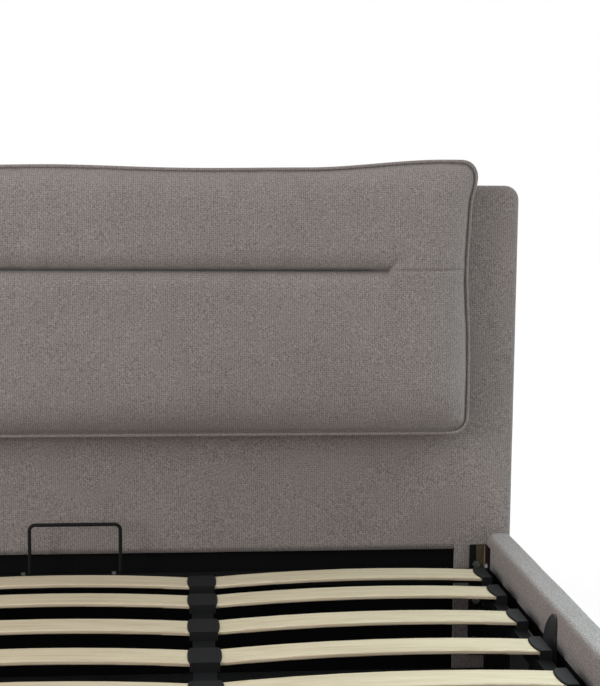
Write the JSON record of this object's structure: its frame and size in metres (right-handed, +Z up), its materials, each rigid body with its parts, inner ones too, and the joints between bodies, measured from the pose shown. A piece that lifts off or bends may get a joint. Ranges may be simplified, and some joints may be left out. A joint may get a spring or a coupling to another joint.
{
  "type": "upholstered storage bed base",
  "caption": "Upholstered bed with a padded headboard cushion, side rails and a slatted platform that tilts up on a gas-strut linkage over a storage box.",
  "frame": {"origin": "on the floor under the middle of the bed's outline", "axes": "+Z up, +Y towards the headboard, +X to the right seen from the foot"},
  "size_m": [1.928, 2.163, 1.152],
  "materials": {
    "linen_fabric": "taupe grey linen-look weave",
    "black_lining": "black non-woven lining",
    "timber": "sawn timber and board",
    "black_panel": "black faced board",
    "birch_slat": "pale bent birch ply, satin",
    "black_plastic": "black moulded plastic",
    "black_rubber": "black rubber",
    "bright_steel": "polished rod",
    "zinc_steel": "zinc plated",
    "black_steel": "black powder coat"
  },
  "bodies": {
    "bed_frame": {"corner_bolts": "zinc_steel", "corner_brackets": "black_steel", "feet": "black_plastic", "floor_beam": "timber", "floor_ledges": "timber", "floor_panel_left": "black_panel", "floor_panel_right": "black_panel", "foot_rail_board": "timber", "foot_rail_lining": "black_lining", "foot_rail_upholstery": "linen_fabric", "headboard_back_lining": "black_lining", "headboard_board": "timber", "headboard_cushion": "linen_fabric", "headboard_lower_panel": "black_lining", "headboard_upholstery": "linen_fabric", "lift_base_pins": "zinc_steel", "lift_base_plate_left": "black_steel", "lift_base_plate_right": "black_steel", "platform_rests": "black_rubber", "side_rail_board_left": "timber", "side_rail_board_right": "timber", "side_rail_lining_left": "black_lining", "side_rail_lining_right": "black_lining", "side_rail_upholstery_left": "linen_fabric", "side_rail_upholstery_right": "linen_fabric"},
    "lift_arms": {"lift_arm_left": "black_steel", "lift_arm_right": "black_steel"},
    "lift_platform": {"beam_slat_holders": "black_plastic", "bracket_pins": "zinc_steel", "mattress_stop": "black_steel", "mattress_stop_bolts": "zinc_steel", "platform_beam_left": "black_steel", "platform_beam_right": "black_steel", "platform_bracket_left": "black_steel", "platform_bracket_right": "black_steel", "platform_foot_bar": "black_steel", "platform_head_bar": "black_steel", "platform_side_bar_left": "black_steel", "platform_side_bar_right": "black_steel", "side_slat_holders": "black_plastic", "slat_row_01": "birch_slat", "slat_row_02": "birch_slat", "slat_row_03": "birch_slat", "slat_row_04": "birch_slat", "slat_row_05": "birch_slat", "slat_row_06": "birch_slat", "slat_row_07": "birch_slat", "slat_row_08": "birch_slat", "slat_row_09": "birch_slat", "slat_row_10": "birch_slat", "slat_row_11": "birch_slat", "slat_row_12": "birch_slat", "slat_row_13": "birch_slat"},
    "stay_arms": {"stay_arm_left": "black_steel", "stay_arm_right": "black_steel"},
    "gas_cylinders": {"gas_cylinder_left": "black_steel", "gas_cylinder_right": "black_steel"},
    "gas_rods": {"gas_rod_left": "bright_steel", "gas_rod_right": "bright_steel"}
  },
  "joints": [
    {"name": "platform_lift", "type": "hinge", "parent": "bed_frame", "child": "lift_arms", "pos_m": [0, 0.3235, 0.1], "axis": [1, 0, 0], "range_deg": [0, 57]},
    {"name": "platform_tilt", "type": "hinge", "parent": "lift_arms", "child": "lift_platform", "pos_m": [0, 0.60515, 0.14966], "axis": [-1, 0, 0], "range_deg": [0, 99]},
    {"name": "stay_swing", "type": "hinge", "parent": "bed_frame", "child": "stay_arms", "pos_m": [0, 0.4945, 0.229], "axis": [1, 0, 0], "range_deg": [0, 83.09]},
    {"name": "strut_swing", "type": "hinge", "parent": "bed_frame", "child": "gas_cylinders", "pos_m": [0, 0.4515, 0.09], "axis": [1, 0, 0], "range_deg": [0, 63]},
    {"name": "strut_extend", "type": "slide", "parent": "gas_cylinders", "child": "gas_rods", "axis": [0, 0.9363, 0.3511], "range_m": [0, 0.0421]}
  ],
  "couplings": [
    {"joint": "platform_tilt", "follows": "platform_lift", "ratio": 1.7368},
    {"joint": "stay_swing", "follows": "platform_lift", "ratio": 1.4577},
    {"joint": "strut_swing", "follows": "platform_lift", "ratio": 1.1053},
    {"joint": "strut_extend", "follows": "platform_lift", "m_per_rad": 0.042318}
  ]
}
